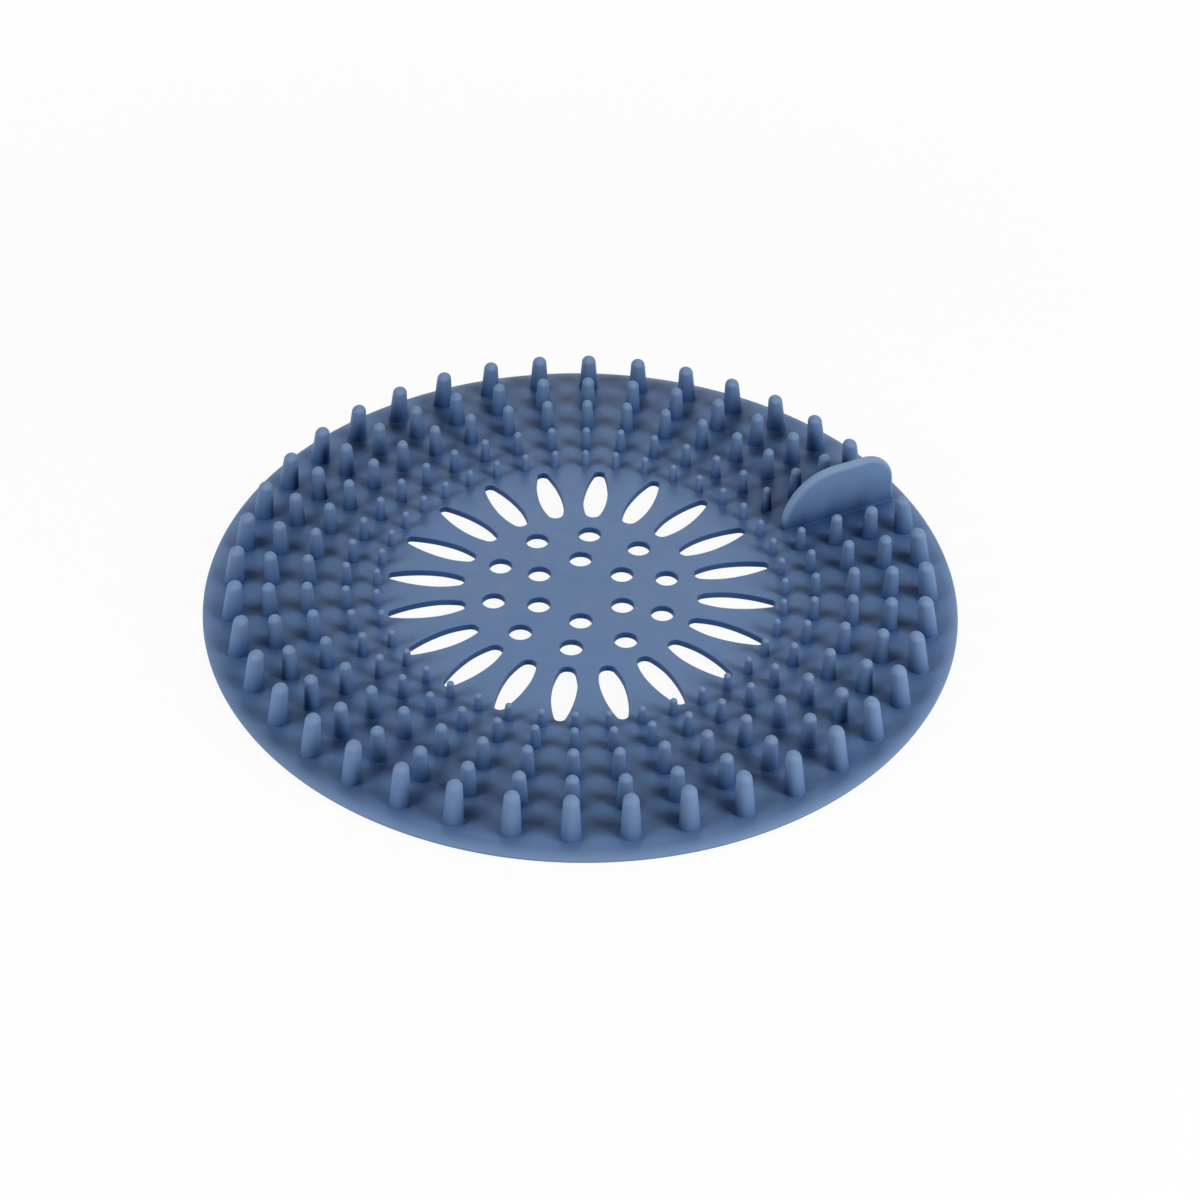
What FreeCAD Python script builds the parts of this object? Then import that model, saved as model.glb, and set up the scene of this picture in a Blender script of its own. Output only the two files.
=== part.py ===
import FreeCAD, Part
import math
import os

import Sketcher

# Hair-catching drain strainer: a flat silicone disc with a pierced plate in the middle, five rings of
# bristles on a bed round it, a bare rounded rim and one upright lift tab.
# Millimetres and degrees. The origin is the centre of the underside, +Z is up, and the tab stands on +X.
# Every ring is set out from the one inside it, so the disc's diameter follows from what it carries.

SIZES = (
    ("disc_thickness", 1.4, "thickness of plate, bed and rim"),
    ("inner_hole_count", 6, "round holes in the inner ring"),
    ("inner_hole_radius", 8.3, "centre of the disc to the inner ring of holes"),
    ("outer_hole_count", 10, "round holes in the outer ring"),
    ("hole_ring_pitch", 7.0, "inner ring of holes to the outer ring"),
    ("hole_diameter", 4.0, "round drain holes"),
    ("slot_count", 20, "petal slots"),
    ("slot_gap", 4.9, "outer ring of holes to the slots' inner ends"),
    ("slot_length", 13.5, "petal slot, end to end along the radius"),
    ("slot_width", 4.2, "petal slot at its widest"),
    ("slot_crown", 5.6, "slot's inner end to where it is widest"),
    ("slot_inner_round", 1.4, "radius of the slot's inner end"),
    ("slot_outer_round", 1.0, "radius of the slot's outer end"),
    ("plate_margin", 0.5, "slots' outer ends to the edge of the plate"),
    ("line_count", 40, "radial lines of bristles, the tab's own line included"),
    ("inner_row_margin", 0.2, "edge of the plate to the inner row's feet"),
    ("inner_row_pitch", 5.2, "inner row to the fourth row"),
    ("row_pitch", 6.5, "one row to the next, from the fourth row to the second"),
    ("outer_row_pitch", 6.6, "second row to the outer row"),
    ("outer_base", 3.5, "outer bristles, diameter at the foot"),
    ("outer_tip", 2.6, "outer bristles, diameter of the domed tip"),
    ("outer_height", 7.6, "outer bristles, above the bed"),
    ("outer_lean", 8.0, "outer bristles, lean towards the centre"),
    ("second_base", 2.9, "second row, diameter at the foot"),
    ("second_tip", 2.2, "second row, diameter of the domed tip"),
    ("second_height", 6.5, "second row, above the bed"),
    ("middle_base", 2.6, "middle row, diameter at the foot"),
    ("middle_tip", 1.9, "middle row, diameter of the domed tip"),
    ("middle_height", 6.1, "middle row, above the bed"),
    ("fourth_base", 2.0, "fourth row, diameter at the foot"),
    ("fourth_tip", 1.4, "fourth row, diameter of the domed tip"),
    ("fourth_height", 4.7, "fourth row, above the bed"),
    ("inner_base", 1.6, "inner row, diameter at the foot"),
    ("inner_tip", 1.2, "inner row, diameter of the domed tip"),
    ("inner_height", 3.4, "inner row, above the bed"),
    ("tab_inner_reach", 0.8, "tab's inner end, in from the middle of the fourth row"),
    ("tab_outer_reach", 2.2, "tab's outer end, out from the middle of the outer row"),
    ("tab_height", 10.5, "lift tab, above the bed"),
    ("tab_thickness", 1.9, "lift tab's blade"),
    ("tab_inner_round", 10.0, "radius of the tab's inner top corner"),
    ("tab_outer_round", 6.0, "radius of the tab's outer top corner"),
    ("tab_outer_lean", 6.0, "outer edge of the tab, lean towards the centre"),
    ("tab_edge_round", 0.8, "rounding of the blade's edges"),
    ("bead_lip", 0.17, "bead along the tab's foot, how far it stands out from the blade"),
    ("bead_clearance", 0.05, "bead to the wall of its groove"),
    ("groove_end_gap", 0.3, "ends of the tab's foot to the ends of its groove"),
    ("bed_margin", 0.35, "outer end of the tab's groove to the edge of the bed"),
    ("rim_width", 2.15, "bare rim round the bed"),
)

EDGE_SHARE = 0.45      # most of the blade's thickness that the rounding of one edge may take
CORNER_SHARE = 0.96    # most of the blade's height or top that one round corner may take
TOUCHING = 1e-6        # two places nearer than this are the same place
FULL_TURN = 360
RIGHT_ANGLE = 90


class Size:
    """A length, angle or count: its expression over the sheet's cells, and its value now."""

    def __init__(self, expression, value):
        self.expression = str(expression)
        self.value = value

    def __add__(self, other):
        other = as_size(other)
        return Size(f"({self.expression} + {other.expression})", self.value + other.value)

    def __sub__(self, other):
        other = as_size(other)
        return Size(f"({self.expression} - {other.expression})", self.value - other.value)

    def __mul__(self, other):
        other = as_size(other)
        return Size(f"({self.expression} * {other.expression})", self.value * other.value)

    def __truediv__(self, other):
        other = as_size(other)
        return Size(f"({self.expression} / {other.expression})", self.value / other.value)


def as_size(number):
    return number if isinstance(number, Size) else Size(number, number)


def tangent_of(angle):
    return Size(f"tan({angle.expression} * 1 deg)", math.tan(math.radians(angle.value)))


def cosine_of(angle):
    return Size(f"cos({angle.expression} * 1 deg)", math.cos(math.radians(angle.value)))


def smallest_of(*sizes):
    expressions = "; ".join(one.expression for one in sizes)
    return Size(f"min({expressions})", min(one.value for one in sizes))


def bind(thing, path, amount):
    thing.setExpression(path, amount.expression)


# Document and sheet of driving sizes

doc = FreeCAD.newDocument("strainer")
sheet = doc.addObject("Spreadsheet::Sheet", "sizes")
size = {}
for row, (alias, number, meaning) in enumerate(SIZES, start=1):
    sheet.set(f"A{row}", meaning)
    sheet.set(f"B{row}", str(number))
    sheet.setAlias(f"B{row}", alias)
    size[alias] = Size(f"sizes.{alias}", number)
doc.recompute()

# Places worked out from the driving sizes

bed_top = size["disc_thickness"]
outer_hole_radius = size["inner_hole_radius"] + size["hole_ring_pitch"]
slot_start = outer_hole_radius + size["slot_gap"]
slot_end = slot_start + size["slot_length"]
plate_radius = slot_end + size["plate_margin"]
inner_row = plate_radius + size["inner_row_margin"] + size["inner_base"] / 2
fourth_row = inner_row + size["inner_row_pitch"]
middle_row = fourth_row + size["row_pitch"]
second_row = middle_row + size["row_pitch"]
outer_row = second_row + size["outer_row_pitch"]

tab_start = fourth_row - size["tab_inner_reach"]
tab_end = outer_row + size["tab_outer_reach"]
groove_start = tab_start - size["groove_end_gap"]
groove_end = tab_end + size["groove_end_gap"]
bead_radius = size["tab_thickness"] / 2 + size["bead_lip"]
groove_radius = bead_radius + size["bead_clearance"]
bed_radius = groove_end + size["bed_margin"]
disc_radius = bed_radius + size["rim_width"]

line_pitch = as_size(FULL_TURN) / size["line_count"]
slot_pitch = as_size(FULL_TURN) / size["slot_count"]
slot_turn = line_pitch / 2


# Bodies, sketches and features

def new_body(label):
    body = doc.addObject("PartDesign::Body", label)
    body.Label = label
    return body


def origin_feature(body, role):
    return next(feature for feature in body.Origin.OriginFeatures if feature.Role == role)


def new_sketch(body, name, plane):
    sketch = body.newObject("Sketcher::SketchObject", name)
    sketch.AttachmentSupport = (origin_feature(body, plane), [""])
    sketch.MapMode = "FlatFace"
    return sketch


def dimension(sketch, name, amount, kind, *places):
    """A driving dimension of a sketch, bound to a size."""
    value = amount.value
    if kind == "Angle":
        value = math.radians(value)
    index = sketch.addConstraint(Sketcher.Constraint(kind, *places, value))
    sketch.renameConstraint(index, name)
    bind(sketch, f"Constraints.{name}", amount)


def relation(sketch, kind, *places):
    sketch.addConstraint(Sketcher.Constraint(kind, *places))


START, END, CENTRE = range(1, 4)     # a curve's own points, counted up from 1
X_AXIS, Y_AXIS = range(-1, -3, -1)   # a sketch's axes, counted down; its origin starts the first
ORIGIN = (X_AXIS, START)


def point(x, y):
    return FreeCAD.Vector(x, y, 0)


def add_line(sketch, first, last):
    return sketch.addGeometry(Part.LineSegment(point(*first), point(*last)), False)


def add_arc(sketch, centre, radius, first_angle, last_angle):
    circle = Part.Circle(point(*centre), FreeCAD.Vector(0, 0, 1), radius)
    return sketch.addGeometry(Part.ArcOfCircle(circle, first_angle, last_angle), False)


def add_circle(sketch, name, radius, distance=None, height=None):
    """A circle round the origin, or at a distance along the sketch's X axis, or a height up its Y axis."""
    x = distance.value if distance else 0
    y = height.value if height else 0
    ring = sketch.addGeometry(Part.Circle(point(x, y), FreeCAD.Vector(0, 0, 1), radius.value), False)
    dimension(sketch, f"{name}_radius", radius, "Radius", ring)
    if distance:
        relation(sketch, "PointOnObject", ring, CENTRE, X_AXIS)
        dimension(sketch, f"{name}_distance", distance, "DistanceX", *ORIGIN, ring, CENTRE)
    elif height:
        relation(sketch, "PointOnObject", ring, CENTRE, Y_AXIS)
        dimension(sketch, f"{name}_height", height, "DistanceY", *ORIGIN, ring, CENTRE)
    else:
        relation(sketch, "Coincident", ring, CENTRE, *ORIGIN)


def pad(body, name, sketch, length):
    feature = body.newObject("PartDesign::Pad", name)
    feature.Profile = sketch
    bind(feature, "Length", length)
    return feature


def cut_through(body, name, sketch, reversed_cut):
    feature = body.newObject("PartDesign::Pocket", name)
    feature.Profile = sketch
    feature.Type = "ThroughAll"
    feature.Reversed = reversed_cut
    return feature


def revolve(body, name, sketch):
    feature = body.newObject("PartDesign::Revolution", name)
    feature.Profile = sketch
    feature.ReferenceAxis = (sketch, ["V_Axis"])
    feature.Angle = FULL_TURN
    return feature


def repeat_round(body, name, originals, pitch, count):
    """Copies round the disc's axis: of the features named, or of the whole body where none is."""
    pattern = body.newObject("PartDesign::PolarPattern", name)
    if originals:
        pattern.Originals = originals
    else:
        pattern.TransformMode = "Whole shape"
    pattern.Axis = (origin_feature(body, "Z_Axis"), [""])
    pattern.Mode = "Spacing"
    bind(pattern, "Offset", pitch)
    bind(pattern, "Occurrences", count)
    body.Tip = pattern
    return pattern


# Drain plate: a disc with petal slots and two rings of round holes

def slot_sketch(body):
    """Leaf-shaped slot along X: round ends, and sides that swell to a crown nearer the inner end."""
    sketch = new_sketch(body, "slot_outline", "XY_Plane")
    bind(sketch, "AttachmentOffset.Rotation.Angle", slot_turn)
    inner_round = size["slot_inner_round"]
    outer_round = size["slot_outer_round"]
    half_width = size["slot_width"] / 2
    inner_centre = slot_start + inner_round
    outer_centre = slot_end - outer_round
    crown = slot_start + size["slot_crown"]

    def side_radius(end_centre, end_round):
        run = crown.value - end_centre.value
        rise = half_width.value**2 - end_round.value**2
        return (run**2 + rise) / (2 * (half_width.value - end_round.value))

    inner_side = side_radius(inner_centre, inner_round)
    outer_side = side_radius(outer_centre, outer_round)
    inner_depth = inner_side - half_width.value
    outer_depth = outer_side - half_width.value
    inner_slant = math.atan2(inner_depth, crown.value - inner_centre.value)
    outer_slant = math.atan2(outer_depth, outer_centre.value - crown.value)
    quarter = math.pi / 2    # of a turn

    inner_end = add_arc(sketch, (inner_centre.value, 0), inner_round.value,
                        math.pi - inner_slant, math.pi + inner_slant)
    low_inner = add_arc(sketch, (crown.value, inner_depth), inner_side,
                        math.pi + inner_slant, 3 * quarter)
    low_outer = add_arc(sketch, (crown.value, outer_depth), outer_side,
                        3 * quarter, 4 * quarter - outer_slant)
    outer_end = add_arc(sketch, (outer_centre.value, 0), outer_round.value,
                        -outer_slant, outer_slant)
    high_outer = add_arc(sketch, (crown.value, -outer_depth), outer_side,
                         outer_slant, quarter)
    high_inner = add_arc(sketch, (crown.value, -inner_depth), inner_side,
                         quarter, math.pi - inner_slant)

    chain = (inner_end, low_inner, low_outer, outer_end, high_outer, high_inner)
    for curve, following in zip(chain, chain[1:] + chain[:1]):
        relation(sketch, "Tangent", curve, END, following, START)
    relation(sketch, "PointOnObject", inner_end, CENTRE, X_AXIS)
    relation(sketch, "PointOnObject", outer_end, CENTRE, X_AXIS)
    relation(sketch, "Symmetric", low_inner, END, high_inner, START, X_AXIS)
    relation(sketch, "Vertical", low_inner, CENTRE, low_inner, END)
    relation(sketch, "Vertical", high_inner, CENTRE, high_inner, START)
    dimension(sketch, "inner_round", inner_round, "Radius", inner_end)
    dimension(sketch, "outer_round", outer_round, "Radius", outer_end)
    dimension(sketch, "inner_centre", inner_centre, "DistanceX", *ORIGIN, inner_end, CENTRE)
    dimension(sketch, "outer_centre", outer_centre, "DistanceX", *ORIGIN, outer_end, CENTRE)
    dimension(sketch, "crown", crown, "DistanceX", *ORIGIN, high_inner, START)
    dimension(sketch, "half_width", half_width, "DistanceY", *ORIGIN, high_inner, START)
    return sketch


def hole_ring(body, name, ring_radius, turn, count):
    sketch = new_sketch(body, f"{name}_outline", "XY_Plane")
    bind(sketch, "AttachmentOffset.Rotation.Angle", turn)
    add_circle(sketch, name, size["hole_diameter"] / 2, ring_radius)
    hole = cut_through(body, name, sketch, True)
    return repeat_round(body, f"{name}_ring", [hole], as_size(FULL_TURN) / count, count)


def drain_plate():
    body = new_body("drain_plate")
    outline = new_sketch(body, "plate_outline", "XY_Plane")
    add_circle(outline, "plate", plate_radius)
    pad(body, "plate", outline, size["disc_thickness"])
    slot = cut_through(body, "slot", slot_sketch(body), True)
    repeat_round(body, "slot_ring", [slot], slot_pitch, size["slot_count"])
    hole_ring(body, "inner_hole", size["inner_hole_radius"], slot_turn, size["inner_hole_count"])
    hole_ring(body, "outer_hole", outer_hole_radius, slot_turn + slot_pitch, size["outer_hole_count"])
    return body


# Lift tab: a D-shaped blade in the radial plane, with a round bead along its foot

def tab_outline(body):
    """Foot from the fourth row to the outer row, a leaning outer edge and two round top corners."""
    sketch = new_sketch(body, "tab_outline", "XZ_Plane")
    bind(sketch, "AttachmentOffset.Base.y", bed_top)
    height = size["tab_height"]
    lean = size["tab_outer_lean"]
    outer_round = smallest_of(size["tab_outer_round"], height * CORNER_SHARE)
    overhang = outer_round / cosine_of(lean) + (height - outer_round) * tangent_of(lean)
    outer_centre = tab_end - overhang
    top_room = outer_centre - tab_start
    inner_round = smallest_of(size["tab_inner_round"], height * CORNER_SHARE, top_room * CORNER_SHARE)
    inner_centre = tab_start + inner_round

    slant = math.radians(lean.value)
    outer_shoulder = height.value - outer_round.value
    inner_shoulder = height.value - inner_round.value
    edge_top = (outer_centre.value + outer_round.value * math.cos(slant),
                outer_shoulder + outer_round.value * math.sin(slant))

    foot = add_line(sketch, (tab_start.value, 0), (tab_end.value, 0))
    outer_edge = add_line(sketch, (tab_end.value, 0), edge_top)
    outer_corner = add_arc(sketch, (outer_centre.value, outer_shoulder), outer_round.value,
                           slant, math.pi / 2)
    top = add_line(sketch, (outer_centre.value, height.value), (inner_centre.value, height.value))
    inner_corner = add_arc(sketch, (inner_centre.value, inner_shoulder), inner_round.value,
                           math.pi / 2, math.pi)
    inner_edge = add_line(sketch, (tab_start.value, inner_shoulder), (tab_start.value, 0))

    relation(sketch, "Coincident", foot, END, outer_edge, START)
    relation(sketch, "Tangent", outer_edge, END, outer_corner, START)
    relation(sketch, "Tangent", outer_corner, END, top, START)
    relation(sketch, "Tangent", top, END, inner_corner, START)
    relation(sketch, "Tangent", inner_corner, END, inner_edge, START)
    relation(sketch, "Coincident", inner_edge, END, foot, START)
    relation(sketch, "PointOnObject", foot, START, X_AXIS)
    relation(sketch, "Horizontal", foot)
    relation(sketch, "Horizontal", top)
    relation(sketch, "Vertical", inner_edge)
    dimension(sketch, "inner_end", tab_start, "DistanceX", *ORIGIN, foot, START)
    dimension(sketch, "outer_end", tab_end, "DistanceX", *ORIGIN, foot, END)
    dimension(sketch, "outer_lean", lean + RIGHT_ANGLE, "Angle", outer_edge)
    dimension(sketch, "outer_round", outer_round, "Radius", outer_corner)
    dimension(sketch, "inner_round", inner_round, "Radius", inner_corner)
    dimension(sketch, "height", height, "DistanceY", *ORIGIN, top, START)
    return sketch


def lift_tab():
    body = new_body("lift_tab")
    blade = pad(body, "blade", tab_outline(body), size["tab_thickness"])
    blade.SideType = "Symmetric"
    doc.recompute()

    edges = []
    for number, edge in enumerate(blade.Shape.Edges, start=1):
        box = edge.BoundBox
        on_side = box.YLength < TOUCHING
        on_foot = box.ZMax < bed_top.value + TOUCHING
        if on_side and not on_foot:
            edges.append(f"Edge{number}")
    soft_edge = body.newObject("PartDesign::Fillet", "soft_edge")
    soft_edge.Base = (blade, edges)
    bind(soft_edge, "Radius", smallest_of(size["tab_edge_round"], size["tab_thickness"] * EDGE_SHARE))
    doc.recompute()

    section = new_sketch(body, "bead_section", "YZ_Plane")
    bind(section, "AttachmentOffset.Base.z", tab_start)
    add_circle(section, "bead", bead_radius, height=bed_top)
    pad(body, "bead", section, tab_end - tab_start)
    return body


# Bed: the ring that carries the bristles, with a half-round groove for the tab's bead

def bristle_bed():
    body = new_body("bristle_bed")
    outline = new_sketch(body, "bed_outline", "XY_Plane")
    add_circle(outline, "bed_outer", bed_radius)
    add_circle(outline, "bed_inner", plate_radius)
    pad(body, "bed", outline, size["disc_thickness"])

    section = new_sketch(body, "groove_section", "YZ_Plane")
    bind(section, "AttachmentOffset.Base.z", groove_start)
    add_circle(section, "groove", groove_radius, height=bed_top)
    groove = body.newObject("PartDesign::Pocket", "groove")
    groove.Profile = section
    groove.Reversed = True
    bind(groove, "Length", groove_end - groove_start)
    return body


# Rim: a bare ring whose outer edge is a half round of the disc's thickness

def outer_rim():
    body = new_body("outer_rim")
    sketch = new_sketch(body, "rim_section", "XZ_Plane")
    inner = bed_radius.value
    thickness = size["disc_thickness"].value
    nose = disc_radius.value - thickness / 2
    bottom = add_line(sketch, (inner, 0), (nose, 0))
    edge = add_arc(sketch, (nose, thickness / 2), thickness / 2, -math.pi / 2, math.pi / 2)
    top = add_line(sketch, (nose, thickness), (inner, thickness))
    wall = add_line(sketch, (inner, thickness), (inner, 0))
    relation(sketch, "Tangent", bottom, END, edge, START)
    relation(sketch, "Tangent", edge, END, top, START)
    relation(sketch, "Coincident", top, END, wall, START)
    relation(sketch, "Coincident", wall, END, bottom, START)
    relation(sketch, "PointOnObject", bottom, START, X_AXIS)
    relation(sketch, "Horizontal", bottom)
    relation(sketch, "Horizontal", top)
    relation(sketch, "Vertical", wall)
    dimension(sketch, "thickness", size["disc_thickness"], "DistanceY", *ORIGIN, top, END)
    dimension(sketch, "inner_radius", bed_radius, "DistanceX", *ORIGIN, bottom, START)
    dimension(sketch, "nose", disc_radius - size["disc_thickness"] / 2,
              "DistanceX", *ORIGIN, edge, CENTRE)
    revolve(body, "rim", sketch)
    return body


# Bristles: tapered stubs with a domed tip, one ring to a body

def bristle_sketch(body, row, row_radius, lean):
    """Half section of one bristle on +X, at its row's radius. A leaning one starts below the bed's top."""
    sketch = new_sketch(body, f"{row}_section", "XZ_Plane")
    base = size[f"{row}_base"] / 2
    tip = size[f"{row}_tip"] / 2
    height = size[f"{row}_height"]
    bind(sketch, "AttachmentOffset.Base.x", row_radius)
    bind(sketch, "AttachmentOffset.Base.y", bed_top)
    foot_level = 0
    if lean:
        sink = size[f"{row}_base"] * tangent_of(lean)
        foot_level = -sink.value
        bind(sketch, "AttachmentOffset.Rotation.Angle", lean)
    shoulder = height.value - tip.value
    taper = math.atan2(base.value - tip.value, shoulder - foot_level)

    foot = add_line(sketch, (0, foot_level), (base.value, foot_level))
    flank = add_line(sketch, (base.value, foot_level), (tip.value, shoulder))
    dome = add_arc(sketch, (0, shoulder), tip.value, taper, math.pi / 2)
    core = add_line(sketch, (0, height.value), (0, foot_level))
    relation(sketch, "Coincident", foot, END, flank, START)
    relation(sketch, "Tangent", flank, END, dome, START)
    relation(sketch, "Coincident", dome, END, core, START)
    relation(sketch, "Coincident", core, END, foot, START)
    relation(sketch, "Horizontal", foot)
    relation(sketch, "PointOnObject", core, START, Y_AXIS)
    relation(sketch, "PointOnObject", core, END, Y_AXIS)
    relation(sketch, "PointOnObject", dome, CENTRE, Y_AXIS)
    dimension(sketch, "base", base, "Distance", foot)
    dimension(sketch, "tip", tip, "Radius", dome)
    dimension(sketch, "height", height, "DistanceY", *ORIGIN, core, START)
    if lean:
        dimension(sketch, "sink", sink, "DistanceY", foot, START, *ORIGIN)
    else:
        relation(sketch, "PointOnObject", foot, START, X_AXIS)
    return sketch


def bristle_ring(row, row_radius, lean=None, beside_tab=True):
    """A ring of bristles. Beside the tab it skips the tab's own line, so it starts one line further on."""
    body = new_body(f"{row}_bristles")
    revolve(body, f"{row}_bristle", bristle_sketch(body, row, row_radius, lean))
    doc.recompute()
    if lean:
        level = new_sketch(body, f"{row}_level", "XY_Plane")
        bind(level, "AttachmentOffset.Base.z", bed_top)
        add_circle(level, "level", size[f"{row}_base"], row_radius)
        cut_through(body, f"{row}_trim", level, False)
        doc.recompute()
    count = size["line_count"]
    if beside_tab:
        count = count - 1
        bind(body, "Placement.Rotation.Angle", line_pitch)
    repeat_round(body, f"{row}_ring", None, line_pitch, count)
    return body


bodies = [
    lift_tab(),
    drain_plate(),
    bristle_bed(),
    outer_rim(),
    bristle_ring("outer", outer_row, lean=size["outer_lean"]),
    bristle_ring("second", second_row),
    bristle_ring("middle", middle_row),
    bristle_ring("fourth", fourth_row),
    bristle_ring("inner", inner_row, beside_tab=False),
]
doc.recompute()

# Checks, then one file for each sub-part

for thing in doc.Objects:
    if "Invalid" in thing.State or "Error" in thing.State:
        raise RuntimeError(f"{thing.Label} failed: {thing.State}")
for body in bodies:
    if body.Shape.isNull() or not body.Shape.isValid():
        raise RuntimeError(f"{body.Label} has no valid shape")

os.makedirs("parts", exist_ok=True)
for body in bodies:
    print(f"{body.Label}: {len(body.Shape.Solids)} solids, {body.Shape.Volume:.2f} mm3")
    body.Shape.exportStep(f"parts/{body.Label}.step")
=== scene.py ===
import math

import bmesh
import bpy
from bpy.props import FloatProperty, FloatVectorProperty, IntProperty, PointerProperty
from mathutils import Matrix, Vector


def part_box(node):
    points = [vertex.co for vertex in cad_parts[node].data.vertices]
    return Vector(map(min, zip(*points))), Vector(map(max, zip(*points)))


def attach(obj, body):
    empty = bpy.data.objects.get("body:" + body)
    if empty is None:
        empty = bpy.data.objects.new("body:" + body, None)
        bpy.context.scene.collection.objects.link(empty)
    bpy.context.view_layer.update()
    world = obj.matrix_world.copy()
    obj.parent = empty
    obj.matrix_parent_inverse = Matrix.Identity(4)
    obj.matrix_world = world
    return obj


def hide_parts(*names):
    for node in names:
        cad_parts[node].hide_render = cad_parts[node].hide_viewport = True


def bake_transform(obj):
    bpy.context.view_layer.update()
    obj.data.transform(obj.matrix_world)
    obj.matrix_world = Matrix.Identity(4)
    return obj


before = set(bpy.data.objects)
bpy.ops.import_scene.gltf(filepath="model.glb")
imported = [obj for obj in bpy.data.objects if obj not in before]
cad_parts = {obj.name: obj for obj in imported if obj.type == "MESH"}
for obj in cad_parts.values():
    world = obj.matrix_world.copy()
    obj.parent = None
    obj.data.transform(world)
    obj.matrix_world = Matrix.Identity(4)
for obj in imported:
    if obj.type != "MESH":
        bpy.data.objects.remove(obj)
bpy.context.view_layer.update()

# Drain hair catcher in one soft silicone moulding: a pierced sheet, five rings of bristles and a lift tab.
# Metres and radians. The frame's own origin is the centre of the underside, with the tab on +X.

bl_info = {
    "name": "Drain hair catcher",
    "version": (1, 0, 0),
    "blender": (4, 5, 0),
    "location": "View3D > Sidebar > Hair catcher",
    "description": "Dresses the strainer's frame as one soft silicone moulding on a white table",
    "category": "Object",
}

# Places read from the frame

BED_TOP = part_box("bristle_bed")[1].z
DISC_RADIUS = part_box("outer_rim")[1].x
TAB_LOW, TAB_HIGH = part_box("lift_tab")
TAB_HEIGHT = TAB_HIGH.z - BED_TOP
ROWS = ("outer", "second", "middle", "fourth", "inner")

# Fineness of the meshes, and how far a foot reaches into what carries it

EDGE_STEPS = 6          # across a rounded edge
END_STEPS = 7           # round half of a slot's end
SIDE_STEPS = 12         # along half of a slot's side
HOLE_SIDES = 48
DISC_SIDES = 360
FLARE_STEPS = 4         # up a foot's flare
DOME_STEPS = 7          # up a bristle's dome
TAB_LEVELS = 30         # up the tab, above its flare
TAB_COLUMNS = 30        # along the tab
FOOT_SINK = 0.0003
WELD = 1e-7             # points nearer than this are one

QUARTER_TURN = math.pi / 2
HALF_TURN = math.pi
FULL_TURN = 2 * math.pi
UNMOVED = Matrix.Identity(4)

# Fineness of the silicone's patterns, and the stretch of each pattern's values that is spread out

CLOUD_DETAIL = 3
CLOUD_STRETCH = (0.35, 0.65)
SATIN_DETAIL = 4
SATIN_STRETCH = (0.3, 0.7)
GRAIN_DETAIL = 2
OPENNESS_SAMPLES = 16

# Names that meshes and materials share, and plain white

SILICONE = "dusty_blue_silicone"
# Painted highlight: this mesh attribute paints domes, rounded edges and the tab's sides paler, as where
# light falls on them.
HIGHLIGHT_ATTRIBUTE = "painted_highlight"           # mesh attribute: how far the silicone is paler than its body
WHITE = (1, 1, 1, 1)

# Sockets of the colour mix node, which share their names with other sockets of it

MIX_FACTOR = 0
MIX_FIRST = 6
MIX_SECOND = 7
MIX_RESULT = 2


# Properties

def length(name, description, metres):
    return FloatProperty(name=name, description=description, default=metres,
                         min=0.0, precision=5, unit="LENGTH")


def turn(name, description, degrees):
    return FloatProperty(name=name, description=description, default=math.radians(degrees),
                         subtype="ANGLE", unit="ROTATION")


def count(name, description, number):
    return IntProperty(name=name, description=description, default=number, min=3)


def level(name, description, number):
    return FloatProperty(name=name, description=description, default=number, min=0.0)


def share(name, description, number):
    return FloatProperty(name=name, description=description, default=number,
                         min=0.0, max=1.0, subtype="FACTOR")


def shift(name, description, number):
    return FloatProperty(name=name, description=description, default=number)


def lens(name, description, millimetres):
    return FloatProperty(name=name, description=description, default=millimetres,
                         min=1.0, unit="CAMERA")


def tint(name, description, red, green, blue):
    return FloatVectorProperty(name=name, description=description, default=(red, green, blue),
                               size=3, min=0.0, max=1.0, subtype="COLOR")


class SheetSizes(bpy.types.PropertyGroup):
    """Openings and edges of the pierced sheet."""

    slot_count: count("Slots", "Petal slots round the plate", 20)
    slot_start: length("Slot start", "Centre of the disc to the slots' inner ends", 0.0202)
    slot_length: length("Slot length", "Petal slot, end to end", 0.0135)
    slot_width: length("Slot width", "Petal slot at its widest", 0.0042)
    slot_crown: length("Slot crown", "Slot's inner end to where it is widest", 0.0056)
    slot_inner_round: length("Inner round", "Radius of the slot's inner end", 0.0014)
    slot_outer_round: length("Outer round", "Radius of the slot's outer end", 0.0010)
    slot_turn: turn("Slot turn", "The tab's plane to the first slot", 4.5)
    hole_diameter: length("Hole diameter", "Round drain holes", 0.0040)
    inner_hole_count: count("Inner holes", "Round holes in the inner ring", 6)
    inner_hole_radius: length("Inner ring", "Centre of the disc to the inner holes", 0.0083)
    outer_hole_count: count("Outer holes", "Round holes in the outer ring", 10)
    outer_hole_radius: length("Outer ring", "Centre of the disc to the outer holes", 0.0153)
    edge_round: length("Edge round", "Rounding of the slots' and holes' edges", 0.0002)
    # Painted highlight: the slots' and holes' rounded edges and the rim's rounded edge are painted paler,
    # as where light catches them.
    edge_highlight: share("Edge paleness", "How far the slots' and holes' edges are paler", 0.17)
    rim_round: length("Rim round", "Width of the rim's rounded edge", 0.0021)
    rim_highlight: share("Rim paleness", "How far the rim's edge is paler", 0.4)


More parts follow.
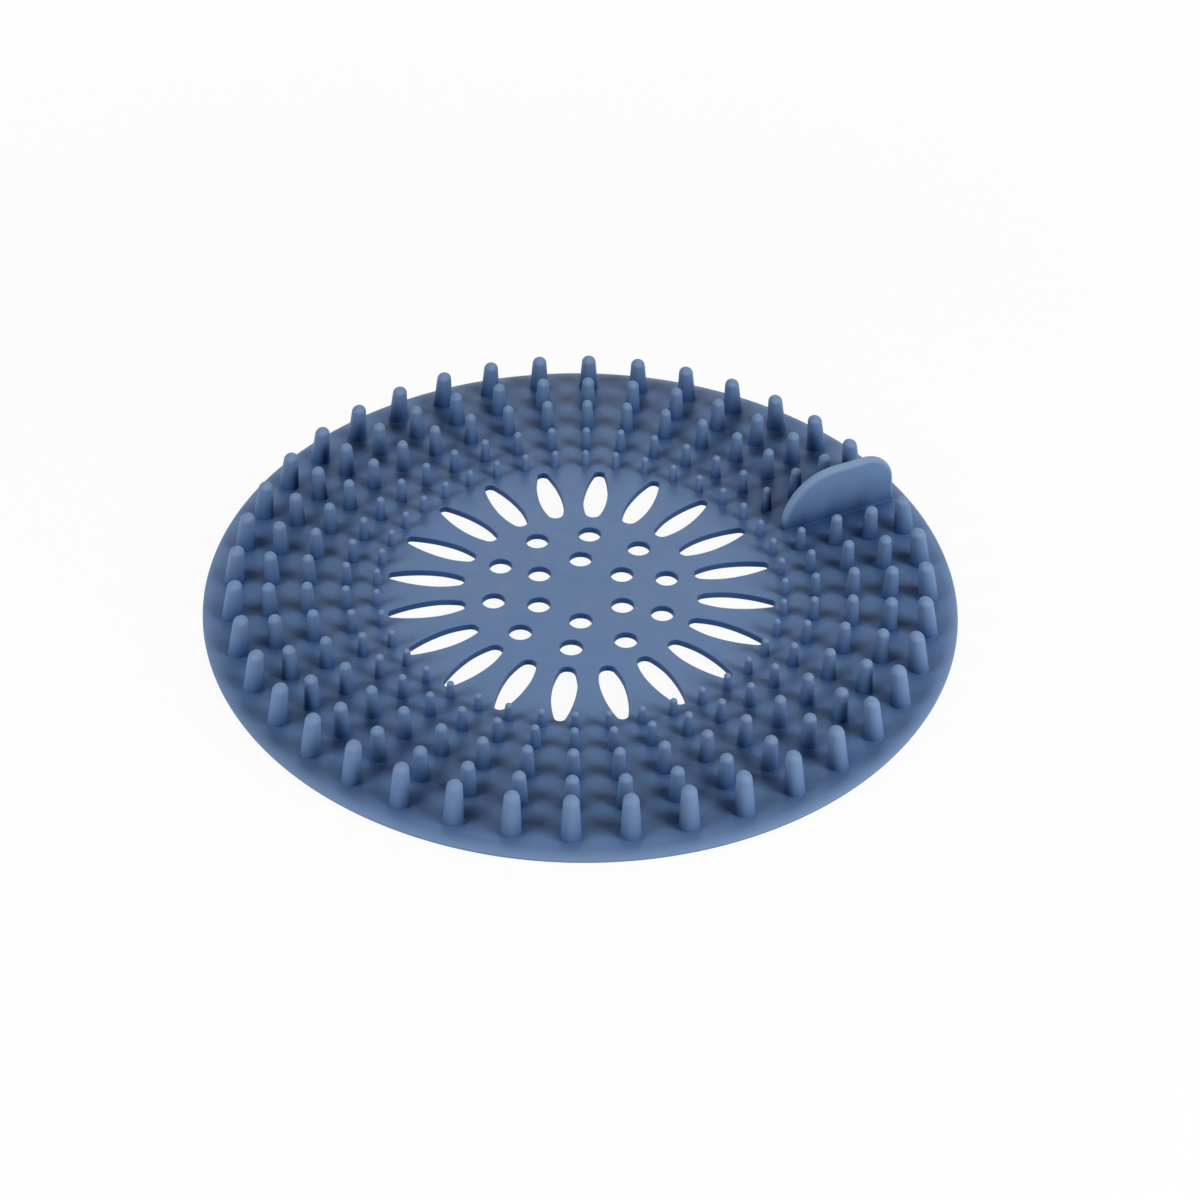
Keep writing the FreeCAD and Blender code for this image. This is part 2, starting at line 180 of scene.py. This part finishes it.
class BristleSizes(bpy.types.PropertyGroup):
    """Thickness of the bristles, row by row, and their feet."""

    line_count: count("Lines", "Radial lines of bristles, the tab's own line included", 40)
    sides: count("Sides", "Facets round one bristle", 28)
    outer_base: length("Outer base", "Outer bristles, diameter at the foot", 0.0035)
    outer_tip: length("Outer tip", "Outer bristles, diameter of the dome", 0.0026)
    second_base: length("Second base", "Second row, diameter at the foot", 0.0029)
    second_tip: length("Second tip", "Second row, diameter of the dome", 0.0022)
    middle_base: length("Middle base", "Middle row, diameter at the foot", 0.0026)
    middle_tip: length("Middle tip", "Middle row, diameter of the dome", 0.0019)
    fourth_base: length("Fourth base", "Fourth row, diameter at the foot", 0.0020)
    fourth_tip: length("Fourth tip", "Fourth row, diameter of the dome", 0.0014)
    inner_base: length("Inner base", "Inner row, diameter at the foot", 0.0016)
    inner_tip: length("Inner tip", "Inner row, diameter of the dome", 0.0012)
    outer_lean: turn("Outer lean", "Outer bristles' lean towards the centre", 8.0)
    foot_round: length("Foot round", "Flare where a bristle grows out of the bed", 0.0001)
    # Painted highlight: the domes are painted paler, as where light falls on the tops.
    cap_highlight: share("Cap paleness", "How far the domes are paler", 0.5)


class TabSizes(bpy.types.PropertyGroup):
    """Blade of the lift tab and its foot."""

    thickness: length("Thickness", "Blade of the tab", 0.0019)
    edge_round: length("Edge round", "Rounding of the blade's edges", 0.0008)
    # Painted highlight: the blade's rounded edges are painted much paler and its flat sides a little
    # paler, as where light falls on them.
    edge_highlight: share("Edge paleness", "How far the blade's edges are paler", 0.85)
    side_highlight: share("Side paleness", "How far the blade's flat sides are paler", 0.16)
    inner_round: length("Inner corner", "Radius of the inner top corner", 0.0100)
    outer_round: length("Outer corner", "Radius of the outer top corner", 0.0060)
    outer_lean: turn("Outer lean", "Outer edge's lean towards the centre", 6.0)
    foot_round: length("Foot round", "Flare where the blade grows out of the bed", 0.0001)
    # Painted light: the height above the bed over which the blade's painted highlight fades in from none,
    # so the blade is darker towards its foot. No bend is made with it.
    highlight_rise: length("Bend height", "Stretch above the bed that takes the bend", 0.0028)


class SiliconeLook(bpy.types.PropertyGroup):
    """Colour and finish of the silicone."""

    colour: tint("Colour", "Body colour of the silicone", 0.110, 0.190, 0.350)
    cloud_colour: tint("Cloud colour", "Slightly greyer patches in the silicone", 0.120, 0.196, 0.348)
    cloud_scale: level("Cloud scale", "Greyer patches to a metre", 70)
    # Painted shade: these three values paint a darker, bluer colour where ambient occlusion finds other
    # surfaces near, between the bristles, at the feet and in the openings.
    painted_shade_colour: tint("Deep colour", "Silicone low between the bristles and in the openings",
                      0.022, 0.064, 0.175)
    painted_shade_reach: length("Deep reach", "How near other surfaces are where the silicone turns deep", 0.008)
    painted_shade_openness: share("Deep openness", "Open share of the view out at which it is deepest", 0.45)
    # Painted highlight: the paler colour that the highlight attribute mixes in on domes, edges and the
    # tab.
    highlight_colour: tint("Tip colour", "Paler silicone on tips and thin edges", 0.230, 0.335, 0.510)
    roughness: share("Roughness", "Middle roughness of the satin skin", 0.5)
    satin_swing: share("Satin swing", "How far the roughness goes up and down", 0.06)
    satin_scale: level("Satin scale", "Rougher and smoother patches to a metre", 420)
    gloss: share("Gloss", "Strength of the skin's reflections", 0.1)
    grain_height: length("Grain height", "Depth of the fine moulded grain", 0.000015)
    grain_strength: share("Grain strength", "How strongly the grain shows", 0.5)
    grain_scale: level("Grain scale", "Grains to a metre", 2600)


class StageLook(bpy.types.PropertyGroup):
    """Camera, lamps and table."""

    camera_azimuth: turn("Camera azimuth", "Camera round the disc, from the -Y side", -26.0)
    camera_elevation: turn("Camera elevation", "Camera above the table", 40.03)
    camera_roll: turn("Camera roll", "Turn of the camera about its own line of sight", 0.685)
    camera_distance: length("Camera distance", "Camera to the middle of the disc", 0.46645)
    focal_length: lens("Focal length", "Lens of the camera, in millimetres", 80.84)
    sensor_width: lens("Sensor width", "Width of the camera's sensor, in millimetres", 36.0)
    shift_right: shift("Shift right", "Frame moved right, as a share of its width", 0.0162)
    shift_up: shift("Shift up", "Frame moved up, as a share of its width", -0.0066)
    lamp_distance: length("Lamp distance", "Lamps to the middle of the disc", 0.60)
    lamp_size: length("Lamp size", "Width and height of a lamp", 0.28)
    lamp_elevation: turn("Lamp elevation", "Lamps above the table", 28.0)
    side_turn: turn("Side turn", "Side lamps round the disc, from the camera", 62.0)
    right_power: level("Right power", "Lamp on the right, in watts", 3.25)
    left_power: level("Left power", "Lamp on the left, in watts", 2.35)
    back_power: level("Back power", "Lamp behind, in watts", 1.15)
    sky_strength: level("Sky strength", "Even light from all round", 0.04)
    table_reach: length("Table reach", "Middle of the table to its edges", 20 * DISC_RADIUS)
    table_gap: length("Table gap", "Table below the disc's underside", 0.00005)
    table_colour: tint("Table colour", "Pale table under the strainer", 0.90, 0.90, 0.90)
    table_roughness: share("Table roughness", "Roughness of the table", 0.9)
    table_gloss: share("Table gloss", "Strength of the table's reflections", 0.1)
    table_white: share("Table white", "How much of the table is seen as plain white", 0.92)
    fade_start: length("Fade start", "Distance at which the table starts to fade", 2 * DISC_RADIUS)
    fade_end: length("Fade end", "Distance at which the table has faded into the white", 0.40)


GROUPS = {
    "strainer_sheet": SheetSizes,
    "strainer_bristles": BristleSizes,
    "strainer_tab": TabSizes,
    "strainer_look": SiliconeLook,
    "strainer_stage": StageLook,
}


# Outlines and meshes

def clamped(value):
    """The value, kept between 0 and 1."""
    return min(max(value, 0.0), 1.0)


def arc(centre, radius, first, last, steps):
    """Points along an arc, its last one left to what follows."""
    step = (last - first) / steps
    return [(centre[0] + radius * math.cos(first + step * number),
             centre[1] + radius * math.sin(first + step * number)) for number in range(steps)]


def circle(centre, radius, sides):
    return arc(centre, radius, 0, FULL_TURN, sides)


def turned(points, angle):
    cosine, sine = math.cos(angle), math.sin(angle)
    return [(x * cosine - y * sine, x * sine + y * cosine) for x, y in points]


def slot_outline(sizes, growth):
    """Leaf shape along +X, grown all round: round ends, and sides that swell to a crown."""
    half_width = sizes.slot_width / 2
    crown = sizes.slot_start + sizes.slot_crown
    inner_centre = sizes.slot_start + sizes.slot_inner_round
    outer_centre = sizes.slot_start + sizes.slot_length - sizes.slot_outer_round

    def side(end_centre, end_round):
        """Radius and centre of a side's arc, and the angle at which it leaves the end's arc."""
        run = abs(crown - end_centre)
        radius = (run**2 + half_width**2 - end_round**2) / (2 * (half_width - end_round))
        depth = radius - half_width
        return radius + growth, (crown, -depth), math.atan2(depth, run)

    inner_side, inner_middle, inner_slant = side(inner_centre, sizes.slot_inner_round)
    outer_side, outer_middle, outer_slant = side(outer_centre, sizes.slot_outer_round)
    inner_end = sizes.slot_inner_round + growth
    outer_end = sizes.slot_outer_round + growth
    upper = arc((inner_centre, 0), inner_end, HALF_TURN, HALF_TURN - inner_slant, END_STEPS)
    upper += arc(inner_middle, inner_side, HALF_TURN - inner_slant, QUARTER_TURN, SIDE_STEPS)
    upper += arc(outer_middle, outer_side, QUARTER_TURN, outer_slant, SIDE_STEPS)
    upper += arc((outer_centre, 0), outer_end, outer_slant, 0, END_STEPS)
    tip = (outer_centre + outer_end, 0)
    return upper + [tip] + [(x, -y) for x, y in reversed(upper[1:])]


def openings(sizes):
    """Outline of each slot and each round hole, as a function of its growth."""
    slot_pitch = FULL_TURN / sizes.slot_count
    for number in range(sizes.slot_count):
        angle = sizes.slot_turn + slot_pitch * number
        yield lambda growth, angle=angle: turned(slot_outline(sizes, growth), angle)
    rings = (
        (sizes.inner_hole_count, sizes.inner_hole_radius, sizes.slot_turn),
        (sizes.outer_hole_count, sizes.outer_hole_radius, sizes.slot_turn + slot_pitch),
    )
    hole_radius = sizes.hole_diameter / 2
    for holes, radius, first in rings:
        for number in range(holes):
            angle = first + FULL_TURN * number / holes
            centre = (radius * math.cos(angle), radius * math.sin(angle))
            yield lambda growth, centre=centre: circle(centre, hole_radius + growth, HOLE_SIDES)


def edge_profile(width, rise, highlight_at):
    """Growth, height and painted highlight of each loop of a soft-edged wall, from the underside to the
    top.
    """
    angles = [QUARTER_TURN * step / EDGE_STEPS for step in range(EDGE_STEPS + 1)]
    lower = [(width * (1 - math.sin(angle)), rise * (1 - math.cos(angle)), highlight_at(angle))
             for angle in angles]
    upper = [(growth, BED_TOP - height, painted_highlight) for growth, height, painted_highlight in reversed(lower)]
    return lower + upper


def loop_edges(mesh, loop):
    return [mesh.edges.get(pair) for pair in zip(loop, loop[1:] + loop[:1])]


def bridge(mesh, line, following, closed=True):
    """Quads between two lines of as many points, each closed into a loop or left open."""
    pairs = list(zip(line, following))
    beyond = pairs[1:] + pairs[:1] if closed else pairs[1:]
    for (here, there), (here_next, there_next) in zip(pairs, beyond):
        mesh.faces.new((here, here_next, there_next, there))


def highlight_layer(mesh):
    """The mesh's own note, point by point, of its painted highlight: how far the silicone is painted paler
    than its body.
    """
    return mesh.verts.layers.float.get(HIGHLIGHT_ATTRIBUTE) or mesh.verts.layers.float.new(HIGHLIGHT_ATTRIBUTE)


def sharpen(mesh, is_sharp):
    """Marks the edges whose two ends both pass the test."""
    for edge in mesh.edges:
        if all(is_sharp(vert.co) for vert in edge.verts):
            edge.smooth = False


def wall(mesh, outline, profile, place=UNMOVED):
    """A wall round an outline, which is a function of its growth. Returns its lowest and highest loop."""
    layer = highlight_layer(mesh)
    loops = []
    for growth, height, painted_highlight in profile:
        loop = [mesh.verts.new(place @ Vector((x, y, height))) for x, y in outline(growth)]
        for vert in loop:
            vert[layer] = painted_highlight
        loops.append(loop)
    for loop, following in zip(loops, loops[1:]):
        bridge(mesh, loop, following)
    return loops[0], loops[-1]


def pierced_sheet(sizes):
    """Plate, bed and rim in one: a round sheet with soft-edged slots and holes and a rounded rim."""
    mesh = bmesh.new()
    # Painted highlight: the rim's edge is painted palest at its outermost point, and the slots' and holes'
    # edges palest halfway round their rounding.
    rim_edge = edge_profile(sizes.rim_round, BED_TOP / 2,
                            lambda angle: sizes.rim_highlight * math.sin(angle))
    soft_edge = edge_profile(sizes.edge_round, sizes.edge_round,
                             lambda angle: sizes.edge_highlight * math.sin(2 * angle))
    walls = [wall(mesh, lambda growth: circle((0, 0), DISC_RADIUS - growth, DISC_SIDES), rim_edge)]
    for outline in openings(sizes):
        walls.append(wall(mesh, outline, soft_edge))

    for side, up in ((0, -1), (1, 1)):
        edges = [edge for ends in walls for edge in loop_edges(mesh, ends[side])]
        bmesh.ops.triangle_fill(mesh, edges=edges, use_beauty=True, normal=(0, 0, up))
    bmesh.ops.remove_doubles(mesh, verts=mesh.verts, dist=WELD)
    return mesh


def bristle_profile(base, tip, height, foot_round):
    """Radius and height of each ring of one bristle, from its sunk foot to the top of its dome."""
    base_radius = base / 2
    tip_radius = tip / 2
    dome_height = height - tip_radius
    slope = math.acos(tip_radius / math.hypot(base_radius, dome_height))
    taper = slope - math.atan2(dome_height, base_radius)
    flare_top = foot_round * (1 - math.sin(taper))
    flare_radius = base_radius - flare_top * math.tan(taper) + foot_round * math.cos(taper)

    profile = [(0, -FOOT_SINK), (flare_radius, -FOOT_SINK)]
    for step in range(FLARE_STEPS + 1):
        angle = QUARTER_TURN + (taper - QUARTER_TURN) * step / FLARE_STEPS
        profile.append((flare_radius - foot_round * math.cos(angle), foot_round * (1 - math.sin(angle))))
    for step in range(DOME_STEPS):
        angle = taper + (QUARTER_TURN - taper) * step / DOME_STEPS
        profile.append((tip_radius * math.cos(angle), dome_height + tip_radius * math.sin(angle)))
    return profile + [(0, height)]


def bristle_ring(sizes, row):
    """One ring of bristles, set out from the row's own box in the frame."""
    low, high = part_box(f"{row}_bristles")
    height = high.z - BED_TOP
    base = getattr(sizes, f"{row}_base")
    tip = getattr(sizes, f"{row}_tip")
    # Painted highlight: each dome is painted paler, from none where it starts to full at its top.
    profile = [(radius, rise, sizes.cap_highlight * clamped((rise - (height - tip)) / tip))
               for radius, rise in bristle_profile(base, tip, height, sizes.foot_round)]
    shear = Matrix.Identity(4)
    if row == "outer":
        shear[0][2] = -math.tan(sizes.outer_lean)
    standing = Matrix.Translation((-low.x - base / 2, 0, BED_TOP)) @ shear

    # The tab takes the first line's place in every ring but the inner one
    first = 0 if row == "inner" else 1
    mesh = bmesh.new()
    for line in range(first, sizes.line_count):
        place = Matrix.Rotation(FULL_TURN * line / sizes.line_count, 4, "Z") @ standing
        wall(mesh, lambda radius: circle((0, 0), radius, sizes.sides), profile, place)
    bmesh.ops.remove_doubles(mesh, verts=mesh.verts, dist=WELD)
    sharpen(mesh, lambda point: abs(point.z - BED_TOP) < WELD)
    return mesh


def flare_at(height, foot_round):
    """How far a foot's flare stands out at a height above the bed."""
    if height >= foot_round:
        return 0.0
    drop = foot_round - max(height, 0.0)
    return foot_round - math.sqrt(foot_round**2 - drop**2)


def tab_levels(sizes):
    """Heights of the blade's rows above the bed, up to where its top edge starts to round."""
    blade = TAB_HEIGHT - sizes.edge_round - sizes.foot_round
    flare = [sizes.foot_round * (1 - math.cos(QUARTER_TURN * step / FLARE_STEPS))
             for step in range(FLARE_STEPS + 1)]
    above = [sizes.foot_round + blade * math.sin(QUARTER_TURN * step / TAB_LEVELS)
             for step in range(1, TAB_LEVELS + 1)]
    return [-FOOT_SINK] + flare + above


def tab_ends(sizes, height):
    """Ends of the blade's flat side at a height, each with the outline's outward direction there."""
    inner_radius = sizes.inner_round - sizes.edge_round
    rise = (height - (TAB_HEIGHT - sizes.inner_round)) / inner_radius
    angle = math.asin(clamped(rise))
    inner_x = TAB_LOW.x + sizes.inner_round - inner_radius * math.cos(angle)
    inner = (inner_x, (-math.cos(angle), math.sin(angle)))

    lean = sizes.outer_lean
    outer_radius = sizes.outer_round - sizes.edge_round
    corner_height = TAB_HEIGHT - sizes.outer_round
    rise = (height - corner_height) / outer_radius
    if rise <= math.sin(lean):
        angle = lean
        outer_x = TAB_HIGH.x - height * math.tan(lean) - sizes.edge_round / math.cos(lean)
    else:
        angle = math.asin(clamped(rise))
        corner_x = TAB_HIGH.x - sizes.outer_round / math.cos(lean) - corner_height * math.tan(lean)
        outer_x = corner_x + outer_radius * math.cos(angle)
    outer = (outer_x, (math.cos(angle), math.sin(angle)))
    return inner, outer


def tab_blade(sizes):
    """D-shaped blade with rounded edges and a flared foot, in rows up its height."""
    mesh = bmesh.new()
    layer = highlight_layer(mesh)

    def corner(x, height, outward, angle, side):
        """A point of the blade, turned by an angle from its flat side round its edge."""
        reach = sizes.edge_round * math.sin(angle)
        x += outward[0] * reach
        height += outward[1] * reach
        across = sizes.thickness / 2 - sizes.edge_round * (1 - math.cos(angle))
        flare = flare_at(height, sizes.foot_round)
        x += outward[0] * math.sin(angle) * flare
        across += math.cos(angle) * flare
        vert = mesh.verts.new((x, side * across, BED_TOP + height))
        # Painted highlight: the rounded edges are painted much paler than the flat sides, and all of it
        # fades out towards the foot.
        edge_share = math.sin(angle) ** 2
        highlight_share = sizes.side_highlight * (1 - edge_share) + sizes.edge_highlight * edge_share
        vert[layer] = clamped(height / sizes.highlight_rise) * highlight_share
        return vert

    levels = tab_levels(sizes)
    rows, inner_line, outer_line = [], [], []
    for height in levels:
        (inner_x, inner_out), (outer_x, outer_out) = tab_ends(sizes, height)
        rows.append([inner_x + (outer_x - inner_x) * column / TAB_COLUMNS
                     for column in range(TAB_COLUMNS + 1)])
        inner_line.append((inner_x, height, inner_out))
        outer_line.append((outer_x, height, outer_out))
    top_line = [(x, levels[-1], (0, 1)) for x in rows[-1][1:-1]]
    outline = inner_line + top_line + outer_line[::-1]

    rims = []
    for side in (1, -1):
        grid = [[corner(x, height, (0, 0), 0, side) for x in row] for height, row in zip(levels, rows)]
        for row, following in zip(grid, grid[1:]):
            bridge(mesh, row, following, closed=False)
        line = [row[0] for row in grid] + grid[-1][1:-1] + [row[-1] for row in reversed(grid)]
        for step in range(1, EDGE_STEPS + 1):
            angle = QUARTER_TURN * step / EDGE_STEPS
            following = [corner(*place, angle, side) for place in outline]
            bridge(mesh, line, following, closed=False)
            line = following
        rims.append(line)
    bridge(mesh, *rims, closed=False)
    bmesh.ops.holes_fill(mesh, edges=[edge for edge in mesh.edges if edge.is_boundary])
    sharpen(mesh, lambda point: abs(point.z - BED_TOP) < WELD)
    return mesh


# Silicone

def silicone(look):
    """Satin dusty-blue silicone with faint clouds and a fine grain, with painted shade where other
    surfaces are near and painted highlights at tips and edges.
    """
    material = bpy.data.materials.get(SILICONE)
    if material:
        return material
    material = bpy.data.materials.new(SILICONE)
    material.use_nodes = True
    nodes = material.node_tree.nodes
    link = material.node_tree.links.new
    skin = nodes["Principled BSDF"]
    place = nodes.new("ShaderNodeTexCoord").outputs["Object"]

    def noise(scale, detail):
        texture = nodes.new("ShaderNodeTexNoise")
        texture.inputs["Scale"].default_value = scale
        texture.inputs["Detail"].default_value = detail
        link(place, texture.inputs["Vector"])
        return texture.outputs["Fac"]

    def spread(value, low, high, first, last):
        """Values from low to high, spread out to go from first to last."""
        node = nodes.new("ShaderNodeMapRange")
        for socket, number in zip(("From Min", "From Max", "To Min", "To Max"), (low, high, first, last)):
            node.inputs[socket].default_value = number
        link(value, node.inputs["Value"])
        return node.outputs["Result"]

    def mixed(factor, one, other):
        """Colour between two, each a socket or a plain colour."""
        node = nodes.new("ShaderNodeMix")
        node.data_type = "RGBA"
        link(factor, node.inputs[MIX_FACTOR])
        for place_in_mix, colour in ((MIX_FIRST, one), (MIX_SECOND, other)):
            socket = node.inputs[place_in_mix]
            if isinstance(colour, bpy.types.NodeSocket):
                link(colour, socket)
            else:
                socket.default_value = (*colour, 1)
        return node.outputs[MIX_RESULT]

    clouds = spread(noise(look.cloud_scale, CLOUD_DETAIL), *CLOUD_STRETCH, 0, 1)
    body = mixed(clouds, look.colour, look.cloud_colour)
    # Painted shade: where ambient occlusion finds other surfaces near, the body colour turns to the
    # darker, bluer painted shade colour.
    openness = nodes.new("ShaderNodeAmbientOcclusion")
    openness.samples = OPENNESS_SAMPLES
    openness.inputs["Distance"].default_value = look.painted_shade_reach
    depth = spread(openness.outputs["AO"], look.painted_shade_openness, 1, 1, 0)
    shaded = mixed(depth, body, look.painted_shade_colour)
    # Painted highlight: the highlight attribute mixes the paler colour in over the body and the painted
    # shade.
    tips = nodes.new("ShaderNodeAttribute")
    tips.attribute_name = HIGHLIGHT_ATTRIBUTE
    link(mixed(tips.outputs["Fac"], shaded, look.highlight_colour), skin.inputs["Base Color"])

    satin = noise(look.satin_scale, SATIN_DETAIL)
    smoothest = look.roughness - look.satin_swing
    roughest = look.roughness + look.satin_swing
    link(spread(satin, *SATIN_STRETCH, smoothest, roughest), skin.inputs["Roughness"])
    skin.inputs["Specular IOR Level"].default_value = look.gloss

    bump = nodes.new("ShaderNodeBump")
    bump.inputs["Strength"].default_value = look.grain_strength
    bump.inputs["Distance"].default_value = look.grain_height
    link(noise(look.grain_scale, GRAIN_DETAIL), bump.inputs["Height"])
    link(bump.outputs["Normal"], skin.inputs["Normal"])
    return material


def finished_piece(context, name, mesh, *nodes):
    """A mesh as a named silicone piece in the scene that stands for the frame's nodes."""
    bmesh.ops.recalc_face_normals(mesh, faces=mesh.faces)
    for face in mesh.faces:
        face.smooth = True
    data = bpy.data.meshes.new(name)
    mesh.to_mesh(data)
    mesh.free()
    data.materials.append(silicone(context.scene.strainer_look))
    piece = bpy.data.objects.new(name, data)
    context.scene.collection.objects.link(piece)
    even = piece.modifiers.new("even_normals", "WEIGHTED_NORMAL")
    even.keep_sharp = True
    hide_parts(*nodes)
    return piece


# Operators

class STRAINER_OT_sheet(bpy.types.Operator):
    """Make the pierced sheet: plate, bed and rim in one"""

    bl_idname = "strainer.sheet"
    bl_label = "Pierced sheet"

    def execute(self, context):
        mesh = pierced_sheet(context.scene.strainer_sheet)
        piece = finished_piece(context, "pierced_sheet", mesh, "drain_plate", "bristle_bed", "outer_rim")
        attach(piece, "disc")
        return {"FINISHED"}


class STRAINER_OT_bristles(bpy.types.Operator):
    """Make the five rings of bristles"""

    bl_idname = "strainer.bristles"
    bl_label = "Bristle rings"

    def execute(self, context):
        for row in ROWS:
            mesh = bristle_ring(context.scene.strainer_bristles, row)
            piece = finished_piece(context, f"{row}_bristle_ring", mesh, f"{row}_bristles")
            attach(piece, "disc")
        return {"FINISHED"}


class STRAINER_OT_tab(bpy.types.Operator):
    """Make the lift tab"""

    bl_idname = "strainer.tab"
    bl_label = "Lift tab"

    def execute(self, context):
        sizes = context.scene.strainer_tab
        piece = finished_piece(context, "lift_tab_blade", tab_blade(sizes), "lift_tab")
        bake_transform(piece)
        return {"FINISHED"}


class STRAINER_OT_stage(bpy.types.Operator):
    """Make the white table, the lamps and the camera"""

    bl_idname = "strainer.stage"
    bl_label = "Stage"

    def execute(self, context):
        look = context.scene.strainer_stage
        context.scene.view_settings.view_transform = "Standard"
        self.make_sky(context, look)
        self.make_table(context, look)
        middle = Vector((0, 0, BED_TOP / 2))
        lamps = (
            ("right_lamp", look.side_turn, look.right_power),
            ("left_lamp", -look.side_turn, look.left_power),
            ("back_lamp", HALF_TURN, look.back_power),
        )
        for name, turned_by, power in lamps:
            direction = self.away(look.camera_azimuth + turned_by, look.lamp_elevation)
            self.make_lamp(context, look, name, middle, direction, power)
        self.make_camera(context, look, middle)
        return {"FINISHED"}

    @staticmethod
    def away(azimuth, elevation):
        """Direction out from the disc, with azimuth 0 on the -Y side."""
        return Vector((math.sin(azimuth) * math.cos(elevation),
                       -math.cos(azimuth) * math.cos(elevation),
                       math.sin(elevation)))

    @staticmethod
    def seen_directly(tree):
        """1 for what is seen, straight or by a mirror or glass, and 0 for light that falls on things."""
        path = tree.nodes.new("ShaderNodeLightPath")
        value = path.outputs["Is Camera Ray"]
        for ray in ("Is Glossy Ray", "Is Transmission Ray"):
            larger = tree.nodes.new("ShaderNodeMath")
            larger.operation = "MAXIMUM"
            tree.links.new(value, larger.inputs[0])
            tree.links.new(path.outputs[ray], larger.inputs[1])
            value = larger.outputs["Value"]
        return value

    def make_sky(self, context, look):
        world = bpy.data.worlds.new("studio")
        world.use_nodes = True
        context.scene.world = world
        tree = world.node_tree
        tree.nodes.clear()
        light = tree.nodes.new("ShaderNodeBackground")
        light.inputs["Strength"].default_value = look.sky_strength
        white = tree.nodes.new("ShaderNodeBackground")
        for background in (light, white):
            background.inputs["Color"].default_value = WHITE
        mix = tree.nodes.new("ShaderNodeMixShader")
        output = tree.nodes.new("ShaderNodeOutputWorld")
        tree.links.new(self.seen_directly(tree), mix.inputs["Fac"])
        tree.links.new(light.outputs["Background"], mix.inputs[1])
        tree.links.new(white.outputs["Background"], mix.inputs[2])
        tree.links.new(mix.outputs["Shader"], output.inputs["Surface"])

    def make_table(self, context, look):
        """A pale table that keeps the shadow and, as it is seen, fades into plain white."""
        reach = look.table_reach
        corners = [(-reach, -reach), (reach, -reach), (reach, reach), (-reach, reach)]
        data = bpy.data.meshes.new("table")
        data.from_pydata([(x, y, -look.table_gap) for x, y in corners], [], [(0, 1, 2, 3)])
        table = bpy.data.objects.new("table", data)
        context.scene.collection.objects.link(table)

        material = bpy.data.materials.new("white_table")
        material.use_nodes = True
        data.materials.append(material)
        tree = material.node_tree
        nodes = tree.nodes
        top = nodes["Principled BSDF"]
        top.inputs["Base Color"].default_value = (*look.table_colour, 1)
        top.inputs["Roughness"].default_value = look.table_roughness
        top.inputs["Specular IOR Level"].default_value = look.table_gloss
        white = nodes.new("ShaderNodeEmission")
        white.inputs["Strength"].default_value = 1

        distance = nodes.new("ShaderNodeVectorMath")
        distance.operation = "LENGTH"
        fade = nodes.new("ShaderNodeMapRange")
        fade.inputs["From Min"].default_value = look.fade_start
        fade.inputs["From Max"].default_value = look.fade_end
        fade.inputs["To Min"].default_value = look.table_white
        part_white = nodes.new("ShaderNodeMath")
        part_white.operation = "MULTIPLY"
        mix = nodes.new("ShaderNodeMixShader")
        output = nodes["Material Output"]
        tree.links.new(nodes.new("ShaderNodeTexCoord").outputs["Object"], distance.inputs[0])
        tree.links.new(distance.outputs["Value"], fade.inputs["Value"])
        tree.links.new(fade.outputs["Result"], part_white.inputs[0])
        tree.links.new(self.seen_directly(tree), part_white.inputs[1])
        tree.links.new(part_white.outputs["Value"], mix.inputs["Fac"])
        tree.links.new(top.outputs["BSDF"], mix.inputs[1])
        tree.links.new(white.outputs["Emission"], mix.inputs[2])
        tree.links.new(mix.outputs["Shader"], output.inputs["Surface"])

    def make_lamp(self, context, look, name, middle, direction, power):
        data = bpy.data.lights.new(name, "AREA")
        data.energy = power
        data.size = look.lamp_size
        lamp = bpy.data.objects.new(name, data)
        lamp.location = middle + direction * look.lamp_distance
        lamp.rotation_euler = direction.to_track_quat("Z", "Y").to_euler()
        context.scene.collection.objects.link(lamp)

    def make_camera(self, context, look, middle):
        data = bpy.data.cameras.new("camera")
        data.lens = look.focal_length
        data.sensor_width = look.sensor_width
        data.shift_x = look.shift_right
        data.shift_y = look.shift_up
        camera = bpy.data.objects.new("camera", data)
        direction = self.away(look.camera_azimuth, look.camera_elevation)
        place = Matrix.Translation(middle + direction * look.camera_distance)
        facing = direction.to_track_quat("Z", "Y").to_matrix().to_4x4()
        camera.matrix_world = place @ facing @ Matrix.Rotation(look.camera_roll, 4, "Z")
        context.scene.collection.objects.link(camera)
        context.scene.camera = camera


OPERATORS = (STRAINER_OT_sheet, STRAINER_OT_bristles, STRAINER_OT_tab, STRAINER_OT_stage)


# Panel, and the add-on as a whole

class STRAINER_PT_pieces(bpy.types.Panel):
    """Lists the strainer's pieces, their sizes and their finish"""

    bl_idname = "STRAINER_PT_pieces"
    bl_label = "Hair catcher"
    bl_space_type = "VIEW_3D"
    bl_region_type = "UI"
    bl_category = "Hair catcher"

    def draw(self, context):
        for operator in OPERATORS:
            self.layout.operator(operator.bl_idname)
        for name in GROUPS:
            box = self.layout.box()
            group = getattr(context.scene, name)
            for key in group.bl_rna.properties.keys():
                if key not in ("rna_type", "name"):
                    box.prop(group, key)


CLASSES = (*GROUPS.values(), *OPERATORS, STRAINER_PT_pieces)


def register():
    for one in CLASSES:
        bpy.utils.register_class(one)
    for name, group in GROUPS.items():
        setattr(bpy.types.Scene, name, PointerProperty(type=group))


def unregister():
    for name in GROUPS:
        delattr(bpy.types.Scene, name)
    for one in reversed(CLASSES):
        bpy.utils.unregister_class(one)


def main():
    register()
    bpy.ops.strainer.sheet()
    bpy.ops.strainer.bristles()
    bpy.ops.strainer.tab()
    bpy.ops.strainer.stage()


if __name__ == "__main__":
    main()
